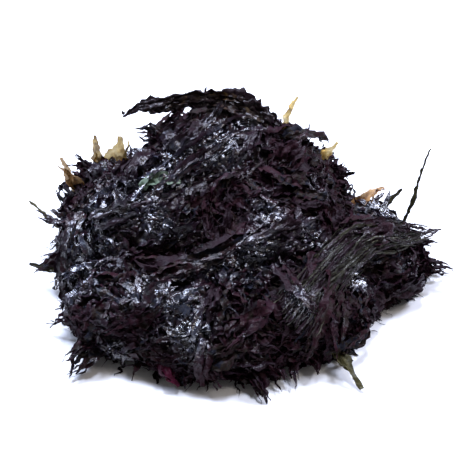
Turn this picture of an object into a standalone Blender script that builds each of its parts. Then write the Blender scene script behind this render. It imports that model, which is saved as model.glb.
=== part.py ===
"""Dried laver: a loose heap of a thin red seaweed, dried until it is shrivelled and nearly black.

Twelve clumps torn from the dried mat are piled into a low dome. Each clump is a lumpy core of
pressed fronds, with ribbons of frond laid over it and ragged tips standing out of it. A bundle
of long strands, a crest and loose fronds of other colours lie over the clumps, in channels of
their own. All sizes are in metres, +Z is up, and the heap rests on the plane z = 0.
"""

import math
import random
from collections import namedtuple

import bmesh
import bpy
from mathutils import Vector, noise

# The heap as a whole
HEAP_MIDDLE = Vector((0.00595, -0.01293, 0))  # middle of the finished heap, as the clumps are laid out
FOOT_HEIGHT = 0.0  # the three clumps that carry the heap
CLEAR_HEIGHT = 0.0012  # the lowest point of everything else
BLEND = 2.0  # how tightly the heap's outside follows its clumps
FARTHEST = 0.2  # no cell reaches this far from its clump's centre
SMALLEST_SHARE = 0.25  # of the way to a neighbour, which a clump always keeps

# A clump's core
CORE_SUBDIVISIONS = 2
CORE_DEPTH = 0.0025  # from the clump's outside down to its core
SEAM_GAP = 0.0002  # from a core to the plane that parts it from a neighbour
SEAM_SHARPNESS = 20  # how sharply a clump's outside turns down into a seam
HUMP_SCALE = 40  # humps of the clump's outside, per metre
HUMP_HEIGHT = 0.0016

# A lying frond
LYING_ROWS = 4
LYING_LENGTH = (0.038, 0.060)
LYING_WIDTH = (0.0075, 0.0135)
HEADING_SPREAD = 18  # degrees off the clump's flow
STEEPEST = 0.85  # a flow that is nearer than this to the surface's normal can't be followed
SWEEP = 6  # sideways bend, per metre
LAYERS = 3
LAYER_STEP = 0.0021  # each layer of lying fronds above the one under it
LAYER_PLAY = 0.001
ROOT_DEPTH = 0.0070
TIP_LIFTS = (0, 0.006, 0.010)
LYING_LOWEST = 0.007  # no frond's middle lies lower on the heap
DIRECTIONS_TRIED = 110

# A tuft's fronds
TUFT_ROWS = 3
TUFT_BEND = 0.004
TUFT_TILT = 0.6
TUFT_CLEARANCE = 0.002  # of a tip above its clump's lowest point

# Any frond's outline and thickness
BLADE_THICKNESS = 0.0008
CELL_MARGIN = 0.0008  # from the middle of a blade's thickness to the edge of its clump's cell
SOCKET_GAP = 0.0004
TIP_WIDTH = 0.0011
ROLL = 0.35  # radians, of the whole frond
TWIST = 0.25  # radians more, row by row
TORN = (0.72, 1.12)  # shares of the width that a torn edge keeps
ROOT_SHARE = 0.24  # how far along its widening a frond starts
TAPER_FROM = 0.45  # share of the length at which it starts to narrow
TAPER = 0.72  # share of the width lost at the tip

FLAT_ANGLE = 0.002  # radians, under which neighbouring faces count as one
NEAR = 0.002  # boxes this close may touch

Clump = namedtuple("Clump", "name centre radii turn flow fronds floor")
Tuft = namedtuple("Tuft", "clump tip width blades spread")
Loose = namedtuple("Loose", "name colour path width facing rows")

CLUMPS = [
    Clump("clump_front_left", (-0.044, -0.062, 0.012), (0.033, 0.030, 0.022), -20, 200, 8, CLEAR_HEIGHT),
    Clump("clump_front", (-0.003, -0.077, 0.010), (0.038, 0.028, 0.023), 0, 255, 9, FOOT_HEIGHT),
    Clump("clump_front_right", (0.040, -0.063, 0.010), (0.035, 0.027, 0.022), 20, 280, 9, CLEAR_HEIGHT),
    Clump("clump_left", (-0.057, -0.018, 0.014), (0.026, 0.034, 0.024), 8, 235, 8, CLEAR_HEIGHT),
    Clump("clump_right", (0.067, -0.023, 0.011), (0.038, 0.028, 0.021), -15, 215, 8, CLEAR_HEIGHT),
    Clump("clump_back_left", (-0.050, 0.019, 0.015), (0.031, 0.029, 0.020), 25, 120, 8, FOOT_HEIGHT),
    Clump("clump_back_right", (0.035, 0.022, 0.016), (0.029, 0.029, 0.024), -20, 60, 8, FOOT_HEIGHT),
    Clump("clump_back", (-0.004, 0.044, 0.017), (0.038, 0.029, 0.028), 0, 80, 9, CLEAR_HEIGHT),
    Clump("clump_centre_left", (-0.033, -0.018, 0.030), (0.037, 0.034, 0.026), -20, 48, 9, CLEAR_HEIGHT),
    Clump("clump_centre_right", (0.022, -0.023, 0.030), (0.039, 0.034, 0.023), 15, 200, 9, CLEAR_HEIGHT),
    Clump("clump_crown_left", (-0.009, 0.014, 0.046), (0.027, 0.026, 0.022), -15, 42, 9, CLEAR_HEIGHT),
    Clump("clump_crown_right", (0.020, 0.010, 0.043), (0.028, 0.027, 0.021), 12, 35, 8, CLEAR_HEIGHT),
]

# Ragged tips that stand out of a clump, each ending near a point
TUFTS = [
    Tuft("clump_front_left", (-0.072, -0.106, 0.003), 0.007, 3, 0.004),
    Tuft("clump_front_left", (-0.084, -0.068, 0.006), 0.005, 2, 0.004),
    Tuft("clump_front_left", (-0.042, -0.101, 0.004), 0.006, 2, 0.006),
    Tuft("clump_front", (0.018, -0.116, 0.003), 0.007, 3, 0.003),
    Tuft("clump_front", (-0.018, -0.109, 0.005), 0.006, 2, 0.006),
    Tuft("clump_front_right", (0.034, -0.106, 0.004), 0.007, 2, 0.004),
    Tuft("clump_front_right", (0.060, -0.093, 0.006), 0.006, 2, 0.005),
    Tuft("clump_left", (-0.094, -0.022, 0.012), 0.005, 2, 0.006),
    Tuft("clump_left", (-0.092, 0.002, 0.025), 0.005, 2, 0.003),
    Tuft("clump_right", (0.120, -0.024, 0.005), 0.005, 2, 0.003),
    Tuft("clump_right", (0.111, -0.018, 0.013), 0.005, 2, 0.003),
    Tuft("clump_right", (0.092, -0.050, 0.006), 0.006, 2, 0.005),
    Tuft("clump_back_left", (-0.080, 0.020, 0.034), 0.006, 3, 0.004),
    Tuft("clump_back_left", (-0.068, 0.048, 0.018), 0.006, 2, 0.005),
    Tuft("clump_back_right", (0.066, 0.018, 0.034), 0.006, 3, 0.004),
    Tuft("clump_back_right", (0.062, 0.052, 0.018), 0.006, 2, 0.006),
    Tuft("clump_back", (-0.006, 0.082, 0.012), 0.007, 3, 0.010),
    Tuft("clump_back", (-0.034, 0.070, 0.022), 0.006, 2, 0.007),
    Tuft("clump_crown_left", (-0.043, 0.016, 0.060), 0.006, 2, 0.002),
    Tuft("clump_crown_left", (0.006, 0.022, 0.073), 0.006, 2, 0.004),
    Tuft("clump_crown_right", (0.029, 0.019, 0.069), 0.006, 2, 0.003),
    Tuft("clump_crown_right", (0.046, 0.018, 0.052), 0.005, 2, 0.003),
]

# Fronds of their own, laid over the heap or caught between the clumps, from root to tip
UPWARD = (0, -0.5, 1)
FORWARD = (0, -1, 0.3)
ALONG_TOP = (0.1, -0.7, 1)
LOOSE = [
    Loose(
        "frond_crest", "laver",
        [(0.025, 0.010, 0.060), (0.020, 0.018, 0.0695), (0.008, 0.022, 0.0745), (-0.010, 0.022, 0.077),
         (-0.030, 0.022, 0.0755), (-0.044, 0.024, 0.071), (-0.053, 0.026, 0.064)],
        0.011, ALONG_TOP, 10,
    ),
    Loose(
        "frond_over_middle", "laver",
        [(-0.048, -0.075, 0.026), (-0.035, -0.069, 0.036), (-0.020, -0.064, 0.040),
         (-0.006, -0.060, 0.042), (0.010, -0.051, 0.047), (0.024, -0.042, 0.047)],
        0.014, UPWARD, 8,
    ),
    Loose(
        "frond_over_crown", "laver",
        [(-0.046, -0.038, 0.045), (-0.036, -0.031, 0.058), (-0.024, -0.020, 0.064),
         (-0.010, -0.010, 0.069), (0.004, 0.002, 0.072), (0.018, 0.010, 0.068)],
        0.011, UPWARD, 8,
    ),
    Loose(
        "frond_over_front", "laver",
        [(-0.047, -0.087, 0.018), (-0.038, -0.088, 0.031), (-0.028, -0.083, 0.039), (-0.015, -0.074, 0.036)],
        0.012, UPWARD, 5,
    ),
    Loose(
        "strand_upper", "laver",
        [(0.026, -0.067, 0.041), (0.042, -0.050, 0.043), (0.064, -0.026, 0.043),
         (0.089, -0.013, 0.032), (0.115, -0.002, 0.012)],
        0.0030, UPWARD, 8,
    ),
    Loose(
        "strand_middle", "laver",
        [(0.030, -0.071, 0.041), (0.046, -0.054, 0.043), (0.068, -0.030, 0.042),
         (0.091, -0.019, 0.032), (0.113, -0.007, 0.016)],
        0.0034, UPWARD, 8,
    ),
    Loose(
        "strand_lower", "laver",
        [(0.034, -0.076, 0.038), (0.050, -0.059, 0.041), (0.072, -0.035, 0.040),
         (0.093, -0.025, 0.031), (0.110, -0.013, 0.020)],
        0.0030, UPWARD, 8,
    ),
    Loose(
        "frond_spike", "olive",
        [(0.092, -0.002, 0.012), (0.098, 0.000, 0.026), (0.101, 0.002, 0.044), (0.105, 0.004, 0.060)],
        0.0022, FORWARD, 5,
    ),
    Loose(
        "frond_olive_right", "olive",
        [(0.078, 0.000, 0.017), (0.085, 0.005, 0.023), (0.094, 0.010, 0.030)],
        0.0040, FORWARD, 4,
    ),
    Loose(
        "frond_amber_wide", "amber",
        [(-0.054, 0.019, 0.030), (-0.056, 0.022, 0.042), (-0.054, 0.024, 0.054)],
        0.0110, FORWARD, 4,
    ),
    Loose(
        "frond_amber_left", "amber",
        [(-0.063, 0.018, 0.028), (-0.066, 0.021, 0.042), (-0.067, 0.022, 0.056)],
        0.0075, FORWARD, 4,
    ),
    Loose(
        "frond_brown_left", "brown",
        [(-0.072, 0.014, 0.022), (-0.080, 0.016, 0.034), (-0.085, 0.018, 0.045)],
        0.0075, FORWARD, 4,
    ),
    Loose(
        "frond_amber_crown", "amber",
        [(0.031, 0.018, 0.062), (0.033, 0.019, 0.072), (0.038, 0.020, 0.081)],
        0.0036, FORWARD, 4,
    ),
    Loose(
        "frond_amber_right", "amber",
        [(0.046, 0.017, 0.036), (0.053, 0.019, 0.044), (0.060, 0.021, 0.052)],
        0.0060, FORWARD, 4,
    ),
    Loose(
        "frond_green", "green",
        [(-0.041, -0.022, 0.0550), (-0.032, -0.020, 0.0585), (-0.022, -0.022, 0.0575)],
        0.0075, UPWARD, 4,
    ),
    Loose(
        "frond_stalk", "olive",
        [(-0.082, -0.006, 0.014), (-0.091, 0.000, 0.018), (-0.103, 0.008, 0.024)],
        0.0030, UPWARD, 4,
    ),
    Loose(
        "frond_olive_left", "olive",
        [(-0.078, -0.030, 0.016), (-0.088, -0.032, 0.011), (-0.099, -0.030, 0.012)],
        0.0055, UPWARD, 4,
    ),
    Loose(
        "frond_olive_front", "olive",
        [(0.049, -0.081, 0.012), (0.056, -0.094, 0.008), (0.065, -0.109, 0.003)],
        0.0065, UPWARD, 4,
    ),
    Loose(
        "frond_red_front", "red",
        [(-0.030, -0.094, 0.017), (-0.027, -0.102, 0.011), (-0.021, -0.109, 0.004)],
        0.0090, UPWARD, 4,
    ),
    Loose(
        "frond_brown_right", "brown",
        [(0.066, -0.006, 0.026), (0.075, 0.002, 0.031), (0.085, 0.009, 0.031)],
        0.0065, UPWARD, 4,
    ),
]

# Surface colours (linear RGB) and roughness
FINISHES = {
    "laver": ((0.014, 0.009, 0.013), 0.38),
    "amber": ((0.270, 0.150, 0.030), 0.45),
    "olive": ((0.075, 0.070, 0.024), 0.50),
    "green": ((0.040, 0.062, 0.038), 0.42),
    "brown": ((0.110, 0.050, 0.022), 0.45),
    "red": ((0.075, 0.010, 0.026), 0.40),
}


def clear_scene():
    for old in list(bpy.data.objects):
        bpy.data.objects.remove(old)


def new_collection(name):
    collection = bpy.data.collections.new(name)
    bpy.context.scene.collection.children.link(collection)
    return collection


def finish_material(name):
    """A plain Principled finish, made once for each colour."""
    if name in bpy.data.materials:
        return bpy.data.materials[name]
    colour, roughness = FINISHES[name]
    material = bpy.data.materials.new(name)
    material.use_nodes = True
    shader = material.node_tree.nodes["Principled BSDF"]
    shader.inputs["Base Color"].default_value = (*colour, 1)
    shader.inputs["Roughness"].default_value = roughness
    shader.inputs["Metallic"].default_value = 0
    return material


# The heap's outside is one surface blended from the clumps' ovals. Inside it, each clump keeps to
# its own cell, whose walls stand where it presses on its neighbours.


def oval(clump, offset):
    """1 on the clump's oval, less inside it and more outside, at an offset from its centre."""
    turn = math.radians(clump.turn)
    x = offset.x * math.cos(turn) + offset.y * math.sin(turn)
    y = offset.y * math.cos(turn) - offset.x * math.sin(turn)
    a, b, c = clump.radii
    return (x / a) ** 2 + (y / b) ** 2 + (offset.z / c) ** 2


def in_heap(point):
    fill = sum(math.exp(BLEND * (1 - oval(clump, point - Vector(clump.centre)))) for clump in CLUMPS)
    return fill >= 1


def walls_of(clump):
    """The planes round a clump's cell, as outward normal and distance from the clump's centre.
    The floor comes first."""
    walls = [(Vector((0, 0, -1)), clump.centre[2] - clump.floor)]
    for other in CLUMPS:
        if other is clump:
            continue
        apart = Vector(other.centre) - Vector(clump.centre)
        span = apart.length
        normal = apart / span
        mine = 1 / oval(clump, normal)
        theirs = 1 / oval(other, normal)
        share = 0.5 + (mine - theirs) / (2 * span**2)
        walls.append((normal, span * min(1 - SMALLEST_SHARE, max(SMALLEST_SHARE, share))))
    return walls


def room(walls, direction, margin):
    """How far a cell lets a point go from its centre, kept a margin off every wall."""
    nearest = FARTHEST
    for normal, distance in walls:
        slope = normal.dot(direction)
        if slope > 1e-6:
            nearest = min(nearest, (distance - margin) / slope)
    return nearest


def heap_reach(clump, direction, limit):
    """Distance from the clump's centre to the heap's outside, or the limit if that comes first."""
    centre = Vector(clump.centre)
    if in_heap(centre + direction * limit):
        return limit
    near, far = 0.0, limit
    for _ in range(12):
        middle = (near + far) / 2
        if in_heap(centre + direction * middle):
            near = middle
        else:
            far = middle
    return near


def outside(clump, walls, direction, depth=0.0):
    """Distance from the clump's centre to its outside in a direction, or to a depth under it."""
    side = room(walls[1:], direction, SEAM_GAP)
    reach = heap_reach(clump, direction, side)
    if reach < side:
        reach -= depth
    reach += HUMP_HEIGHT * 2 * noise.noise((Vector(clump.centre) + direction * reach) * HUMP_SCALE)
    return (reach**-SEAM_SHARPNESS + side**-SEAM_SHARPNESS) ** (-1 / SEAM_SHARPNESS)


def core_reach(clump, walls, direction):
    return min(outside(clump, walls, direction, CORE_DEPTH), room(walls[:1], direction, 0))


def open_directions(clump, walls):
    """Directions in which the clump lies open to the outside of the heap, evenly spread."""
    golden = math.pi * (3 - math.sqrt(5))
    found = []
    for i in range(DIRECTIONS_TRIED):
        height = 1 - 2 * (i + 0.5) / DIRECTIONS_TRIED
        ring = math.sqrt(1 - height * height)
        direction = Vector((ring * math.cos(golden * i), ring * math.sin(golden * i), height))
        side = room(walls[1:], direction, 0)
        low = clump.centre[2] + direction.z * heap_reach(clump, direction, side) < LYING_LOWEST
        if not low and not in_heap(Vector(clump.centre) + direction * side):
            found.append(direction)
    return found


# Fronds. A frond is a row of stations, each with a place and the way its face looks.


def lying_frond(clump, walls, middle, layer, rng):
    """A ribbon laid along the clump's surface, with its root sunk in and its tip sunk or free."""
    centre = Vector(clump.centre)
    length = rng.uniform(*LYING_LENGTH)
    width = rng.uniform(*LYING_WIDTH)
    heading = math.radians(clump.flow + rng.gauss(0, HEADING_SPREAD))
    forward = Vector((math.cos(heading), math.sin(heading), 0))
    if abs(forward.dot(middle)) > STEEPEST:
        forward = Vector((0, 0, -1))
    forward = (forward - middle * forward.dot(middle)).normalized()
    sideways = middle.cross(forward)
    sweep = rng.uniform(-SWEEP, SWEEP)
    lift = layer * LAYER_STEP + rng.uniform(0, LAYER_PLAY)
    tip_lift = rng.choice(TIP_LIFTS)
    start = centre + middle * outside(clump, walls, middle)
    stations = []
    for row in range(LYING_ROWS + 1):
        share = row / LYING_ROWS
        along = (share - 0.5) * length
        point = start + forward * along + sideways * (sweep * along * along)
        direction = (point - centre).normalized()
        sunk = (2 * share - 1) ** 4 * (ROOT_DEPTH + lift)
        if share > 0.5 and tip_lift:
            sunk = -((2 * share - 1) ** 2) * tip_lift
        stations.append((centre + direction * (outside(clump, walls, direction) + lift - sunk), direction))
    return stations, width


def tuft_fronds(clump, walls, tuft, rng):
    """Ribbons that leave the clump side by side and fan out round the tuft's tip."""
    centre = Vector(clump.centre)
    for _ in range(tuft.blades):
        tip = Vector(tuft.tip) + Vector([rng.uniform(-1, 1) * tuft.spread for _ in range(3)])
        tip.z = max(tip.z, clump.floor + TUFT_CLEARANCE)
        toward = (tip - centre).normalized()
        root = centre + toward * (core_reach(clump, walls, toward) - ROOT_DEPTH / 2)
        bend = toward.cross(Vector((0, 0, 1))) * rng.uniform(-TUFT_BEND, TUFT_BEND)
        bend.z += rng.uniform(0, TUFT_BEND)
        facing = Vector((rng.uniform(-TUFT_TILT, TUFT_TILT), rng.uniform(-TUFT_TILT, TUFT_TILT), 1))
        width = tuft.width * rng.uniform(0.7, 1.1)
        shares = [row / TUFT_ROWS for row in range(TUFT_ROWS + 1)]
        yield [(root.lerp(tip, s) + bend * (4 * s * (1 - s)), facing) for s in shares], width


def smooth_path(points, rows):
    """Stations on one smooth curve through a frond's hand-set points (Catmull-Rom)."""
    knots = [Vector(point) for point in points]
    knots = [2 * knots[0] - knots[1], *knots, 2 * knots[-1] - knots[-2]]
    spans = len(knots) - 3
    for row in range(rows + 1):
        place = row / rows * spans
        span = min(int(place), spans - 1)
        t = place - span
        a, b, c, d = knots[span : span + 4]
        bowed = (2 * a - 5 * b + 4 * c - d) * t**2 + (3 * b - a - 3 * c + d) * t**3
        yield 0.5 * (2 * b + (c - a) * t + bowed)


def frond_edges(stations, width, rng, spare=0.0):
    """The left and right edge of a frond that widens from its root, narrows to a torn tip and
    twists a little on the way. With spare it is larger all round."""
    rows = len(stations) - 1
    lefts, rights = [], []
    roll = rng.uniform(-ROLL, ROLL)
    for row, (point, facing) in enumerate(stations):
        share = row / rows
        ahead = (stations[min(row + 1, rows)][0] - stations[max(row - 1, 0)][0]).normalized()
        across = facing.cross(ahead).normalized()
        lifted = ahead.cross(across)
        angle = roll + rng.uniform(-TWIST, TWIST)
        across = across * math.cos(angle) + lifted * math.sin(angle)
        narrowed = 1 - max(0, share - TAPER_FROM) / (1 - TAPER_FROM) * TAPER
        body = math.sin(math.pi * min(0.5, ROOT_SHARE + share)) * narrowed
        shifted = point + ahead * (spare if row == rows else -spare if row == 0 else 0)
        for edge, sign in ((lefts, -1), (rights, 1)):
            half = max(TIP_WIDTH, width * body * rng.uniform(*TORN)) / 2 + spare
            edge.append(shifted + across * (sign * half))
    return lefts, rights


def bent_clear(point, clump, walls):
    """A point drawn in toward the clump's centre until it is inside the clump's cell."""
    centre = Vector(clump.centre)
    offset = point - centre
    limit = room(walls, offset.normalized(), CELL_MARGIN)
    return centre + offset * min(1.0, limit / offset.length)


def blade(name, lefts, rights, thickness):
    """The solid strip between two edges."""
    rows = len(lefts) - 1
    bm = bmesh.new()
    bmesh.ops.create_grid(bm, x_segments=1, y_segments=rows, size=0.5)
    for vert in bm.verts:
        row = round((vert.co.y + 0.5) * rows)
        vert.co = (lefts if vert.co.x < 0 else rights)[row]
    bmesh.ops.triangulate(bm, faces=bm.faces)
    mesh = bpy.data.meshes.new(name)
    bm.to_mesh(mesh)
    bm.free()
    obj = bpy.data.objects.new(name, mesh)
    shell = obj.modifiers.new("thickness", "SOLIDIFY")
    shell.thickness = thickness
    shell.offset = 0
    return obj


def combine(obj, others, operation):
    """Joins the others to obj, or cuts them from it, and keeps the largest body of the result."""
    tools = new_collection("joined pieces")
    for other in others:
        tools.objects.link(other)
    step = obj.modifiers.new(operation.lower(), "BOOLEAN")
    step.operation = operation
    step.operand_type = "COLLECTION"
    step.collection = tools
    step.solver = "MANIFOLD"
    graph = bpy.context.evaluated_depsgraph_get()
    graph.update()
    made = bpy.data.meshes.new_from_object(obj.evaluated_get(graph))
    obj.modifiers.clear()
    obj.data = made
    for other in others:
        bpy.data.objects.remove(other)
    bpy.data.collections.remove(tools)
    drop_scraps(obj)


def drop_scraps(obj):
    """Leaves only the largest connected body of a mesh, with its flat places merged."""
    bm = bmesh.new()
    bm.from_mesh(obj.data)
    unseen = set(bm.verts)
    bodies = []
    while unseen:
        edge = [unseen.pop()]
        body = list(edge)
        while edge:
            vert = edge.pop()
            for link in vert.link_edges:
                near = link.other_vert(vert)
                if near in unseen:
                    unseen.remove(near)
                    edge.append(near)
                    body.append(near)
        bodies.append(body)
    bodies.sort(key=len)
    bmesh.ops.delete(bm, geom=[vert for body in bodies[:-1] for vert in body], context="VERTS")
    bmesh.ops.dissolve_limit(bm, angle_limit=FLAT_ANGLE, verts=bm.verts, edges=bm.edges)
    bmesh.ops.triangulate(bm, faces=bm.faces)
    bm.to_mesh(obj.data)
    bm.free()


def matted_clump(clump, seed, home):
    """A core of pressed fronds, with the ribbons and tufts that stand out of it fused on."""
    rng = random.Random(seed)
    walls = walls_of(clump)
    bm = bmesh.new()
    bmesh.ops.create_icosphere(bm, subdivisions=CORE_SUBDIVISIONS, radius=1)
    for vert in bm.verts:
        direction = vert.co.normalized()
        vert.co = Vector(clump.centre) + direction * core_reach(clump, walls, direction)
    mesh = bpy.data.meshes.new(clump.name)
    bm.to_mesh(mesh)
    bm.free()
    core = bpy.data.objects.new(clump.name, mesh)
    home.objects.link(core)

    places = open_directions(clump, walls)
    step = max(1.0, len(places) / clump.fronds)
    chosen = [places[int(i * step)] for i in range(min(clump.fronds, len(places)))]
    fronds = [lying_frond(clump, walls, middle, i % LAYERS, rng) for i, middle in enumerate(chosen)]
    for tuft in TUFTS:
        if tuft.clump == clump.name:
            fronds.extend(tuft_fronds(clump, walls, tuft, rng))
    blades = []
    for i, (stations, width) in enumerate(fronds):
        lefts, rights = frond_edges(stations, width, rng)
        lefts = [bent_clear(point, clump, walls) for point in lefts]
        rights = [bent_clear(point, clump, walls) for point in rights]
        blades.append(blade(f"{clump.name}_{i}", lefts, rights, BLADE_THICKNESS))
    combine(core, blades, "UNION")
    core.data.materials.clear()
    core.data.materials.append(finish_material("laver"))
    return core


def loose_frond(frond, seed, spare=0.0):
    """A frond of its own, or with spare the channel it lies in."""
    facing = Vector(frond.facing)
    stations = [(point, facing) for point in smooth_path(frond.path, frond.rows)]
    lefts, rights = frond_edges(stations, frond.width, random.Random(seed), spare)
    return blade(frond.name, lefts, rights, BLADE_THICKNESS + 2 * spare)


def boxes_meet(first, second):
    for axis in range(3):
        a = [vert.co[axis] for vert in first.data.vertices]
        b = [vert.co[axis] for vert in second.data.vertices]
        if min(a) > max(b) + NEAR or min(b) > max(a) + NEAR:
            return False
    return True


def main():
    clear_scene()
    heap = new_collection("dried laver")
    clumps = [matted_clump(clump, seed, heap) for seed, clump in enumerate(CLUMPS, start=11)]
    for seed, frond in enumerate(LOOSE, start=71):
        obj = loose_frond(frond, seed)
        heap.objects.link(obj)
        obj.data.materials.append(finish_material(frond.colour))
        for clump in clumps:
            if boxes_meet(clump, obj):
                combine(clump, [loose_frond(frond, seed, SOCKET_GAP)], "DIFFERENCE")
    for obj in heap.objects:
        obj.location = -HEAP_MIDDLE


main()
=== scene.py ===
import math
import random
from collections import namedtuple

import bmesh
import bpy
import numpy as np
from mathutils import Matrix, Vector, noise


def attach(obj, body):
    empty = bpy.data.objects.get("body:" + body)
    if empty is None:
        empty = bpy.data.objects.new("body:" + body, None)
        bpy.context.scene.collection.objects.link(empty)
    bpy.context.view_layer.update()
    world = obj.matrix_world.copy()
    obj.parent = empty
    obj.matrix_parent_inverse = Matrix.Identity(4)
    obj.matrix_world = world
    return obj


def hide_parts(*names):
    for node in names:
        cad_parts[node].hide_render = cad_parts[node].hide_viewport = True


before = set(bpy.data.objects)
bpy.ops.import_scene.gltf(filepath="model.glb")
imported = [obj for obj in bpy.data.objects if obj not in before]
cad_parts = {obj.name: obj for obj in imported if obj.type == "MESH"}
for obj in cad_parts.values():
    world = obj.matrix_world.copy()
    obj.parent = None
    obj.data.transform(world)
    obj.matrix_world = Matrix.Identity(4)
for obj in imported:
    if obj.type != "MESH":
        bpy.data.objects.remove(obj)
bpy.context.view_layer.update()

# The clumps. Dried laver is sheets of a thin red seaweed that shrank into wrinkled, glossy ribbons
# as they dried, nearly black, and matted together. Twelve clumps torn from such a mat make the
# heap. Each has a dark core of pressed fronds, broad ribbons over it and many finer ones.

# Lengths are in metres, scales in waves a metre and angles in degrees. A clump is an oval with its
# turn, the way its fronds run, how many broad ones lie on it, and the height of its underside.
HEAP_MIDDLE = Vector((0.00595, -0.01293, 0))  # middle of the heap, as the clumps are laid out
FOOT_HEIGHT = 0.0
CLEAR_HEIGHT = 0.0012
Clump = namedtuple("Clump", "name centre radii turn flow fronds floor")
CLUMPS = [
    Clump("clump_front_left", (-0.044, -0.062, 0.012), (0.033, 0.030, 0.022), -20, 200, 8, CLEAR_HEIGHT),
    Clump("clump_front", (-0.003, -0.077, 0.010), (0.038, 0.028, 0.023), 0, 255, 9, FOOT_HEIGHT),
    Clump("clump_front_right", (0.040, -0.063, 0.010), (0.035, 0.027, 0.022), 20, 280, 9, CLEAR_HEIGHT),
    Clump("clump_left", (-0.057, -0.018, 0.014), (0.026, 0.034, 0.024), 8, 235, 8, CLEAR_HEIGHT),
    Clump("clump_right", (0.067, -0.023, 0.011), (0.038, 0.028, 0.021), -15, 215, 8, CLEAR_HEIGHT),
    Clump("clump_back_left", (-0.050, 0.019, 0.015), (0.031, 0.029, 0.020), 25, 120, 8, FOOT_HEIGHT),
    Clump("clump_back_right", (0.035, 0.022, 0.016), (0.029, 0.029, 0.024), -20, 60, 8, FOOT_HEIGHT),
    Clump("clump_back", (-0.004, 0.044, 0.017), (0.038, 0.029, 0.028), 0, 80, 9, CLEAR_HEIGHT),
    Clump("clump_centre_left", (-0.033, -0.018, 0.030), (0.037, 0.034, 0.026), -20, 48, 9, CLEAR_HEIGHT),
    Clump("clump_centre_right", (0.022, -0.023, 0.030), (0.039, 0.034, 0.023), 15, 200, 9, CLEAR_HEIGHT),
    Clump("clump_crown_left", (-0.009, 0.014, 0.046), (0.027, 0.026, 0.022), -15, 42, 9, CLEAR_HEIGHT),
    Clump("clump_crown_right", (0.020, 0.010, 0.043), (0.028, 0.027, 0.021), 12, 35, 8, CLEAR_HEIGHT),
]
# Ragged tips that stand out of a clump: the place of each group of tips, the width and number of its
# blades, and how far they spread round the place. The first few of a clump are its big ones.
Tuft = namedtuple("Tuft", "tip width blades spread")
TUFTS = {
    "clump_front_left": [
        ((-0.072, -0.106, 0.003), 0.007, 3, 0.004), ((-0.084, -0.068, 0.006), 0.005, 2, 0.004),
        ((-0.042, -0.101, 0.004), 0.006, 2, 0.006), ((-0.082, -0.062, 0.006), 0.004, 3, 0.004),
        ((-0.0745, -0.097, 0.010), 0.006, 4, 0.003),
    ],
    "clump_front": [
        ((0.018, -0.116, 0.003), 0.007, 3, 0.003), ((-0.018, -0.109, 0.005), 0.006, 2, 0.006),
        ((0.020, -0.116, 0.003), 0.006, 3, 0.002), ((0.030, -0.109, 0.004), 0.006, 4, 0.003),
    ],
    "clump_front_right": [
        ((0.034, -0.106, 0.004), 0.007, 2, 0.004), ((0.060, -0.093, 0.006), 0.006, 2, 0.005),
        ((0.042, -0.099, 0.006), 0.006, 3, 0.004),
    ],
    "clump_left": [
        ((-0.094, -0.022, 0.012), 0.005, 2, 0.006), ((-0.092, 0.002, 0.025), 0.005, 2, 0.003),
        ((-0.0945, -0.003, 0.025), 0.004, 3, 0.003), ((-0.0925, -0.020, 0.015), 0.004, 3, 0.003),
        ((-0.094, -0.035, 0.013), 0.005, 4, 0.003), ((-0.087, -0.045, 0.010), 0.004, 3, 0.003),
    ],
    "clump_right": [
        ((0.120, -0.024, 0.005), 0.005, 2, 0.003), ((0.111, -0.018, 0.013), 0.005, 2, 0.003),
        ((0.092, -0.050, 0.006), 0.006, 2, 0.005), ((0.085, 0.011, 0.028), 0.004, 3, 0.004),
        ((0.116, -0.034, 0.010), 0.005, 4, 0.003),
    ],
    "clump_back_left": [
        ((-0.080, 0.020, 0.034), 0.006, 3, 0.004), ((-0.068, 0.048, 0.018), 0.006, 2, 0.005),
        ((-0.076, 0.018, 0.047), 0.004, 3, 0.003), ((-0.082, 0.030, 0.030), 0.005, 4, 0.004),
        ((-0.058, 0.058, 0.012), 0.005, 3, 0.006),
    ],
    "clump_back_right": [
        ((0.066, 0.018, 0.034), 0.006, 3, 0.004), ((0.062, 0.052, 0.018), 0.006, 2, 0.006),
        ((0.061, 0.020, 0.042), 0.006, 4, 0.003), ((0.067, 0.018, 0.035), 0.006, 4, 0.003),
        ((0.070, 0.010, 0.027), 0.006, 4, 0.003), ((0.050, 0.062, 0.012), 0.005, 3, 0.006),
    ],
    "clump_back": [
        ((-0.006, 0.082, 0.012), 0.007, 3, 0.010), ((-0.034, 0.070, 0.022), 0.006, 2, 0.007),
        ((0.010, 0.080, 0.020), 0.005, 3, 0.006),
    ],
    "clump_crown_left": [
        ((-0.043, 0.016, 0.060), 0.006, 2, 0.002), ((0.006, 0.022, 0.073), 0.006, 2, 0.004),
        ((-0.045, 0.019, 0.059), 0.006, 4, 0.003),
    ],
    "clump_crown_right": [
        ((0.029, 0.019, 0.069), 0.006, 2, 0.003), ((0.046, 0.018, 0.052), 0.005, 2, 0.003),
    ],
}
BLEND = 2.0  # how firmly the ovals keep their own shape where they melt into one mass
SEAM_GAP = 0.0002
SEAM_SHARPNESS = 20
SEAM_SHARES = (0.25, 0.75)  # nearest and farthest that a seam may lie between two middles
HUMP_SCALE = 40
HUMP_HEIGHT = 0.0016
FAR = 0.2  # farther than any wall


def oval(clump, offset):
    """1 on the clump's oval, less inside it and more outside, at an offset from its centre."""
    turn = math.radians(clump.turn)
    x = offset.x * math.cos(turn) + offset.y * math.sin(turn)
    y = offset.y * math.cos(turn) - offset.x * math.sin(turn)
    a, b, c = clump.radii
    return (x / a) ** 2 + (y / b) ** 2 + (offset.z / c) ** 2


def in_heap(point):
    """Whether a point is inside the one rounded mass that the clumps' ovals melt into."""
    fill = sum(math.exp(BLEND * (1 - oval(clump, point - Vector(clump.centre)))) for clump in CLUMPS)
    return fill >= 1


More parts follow.
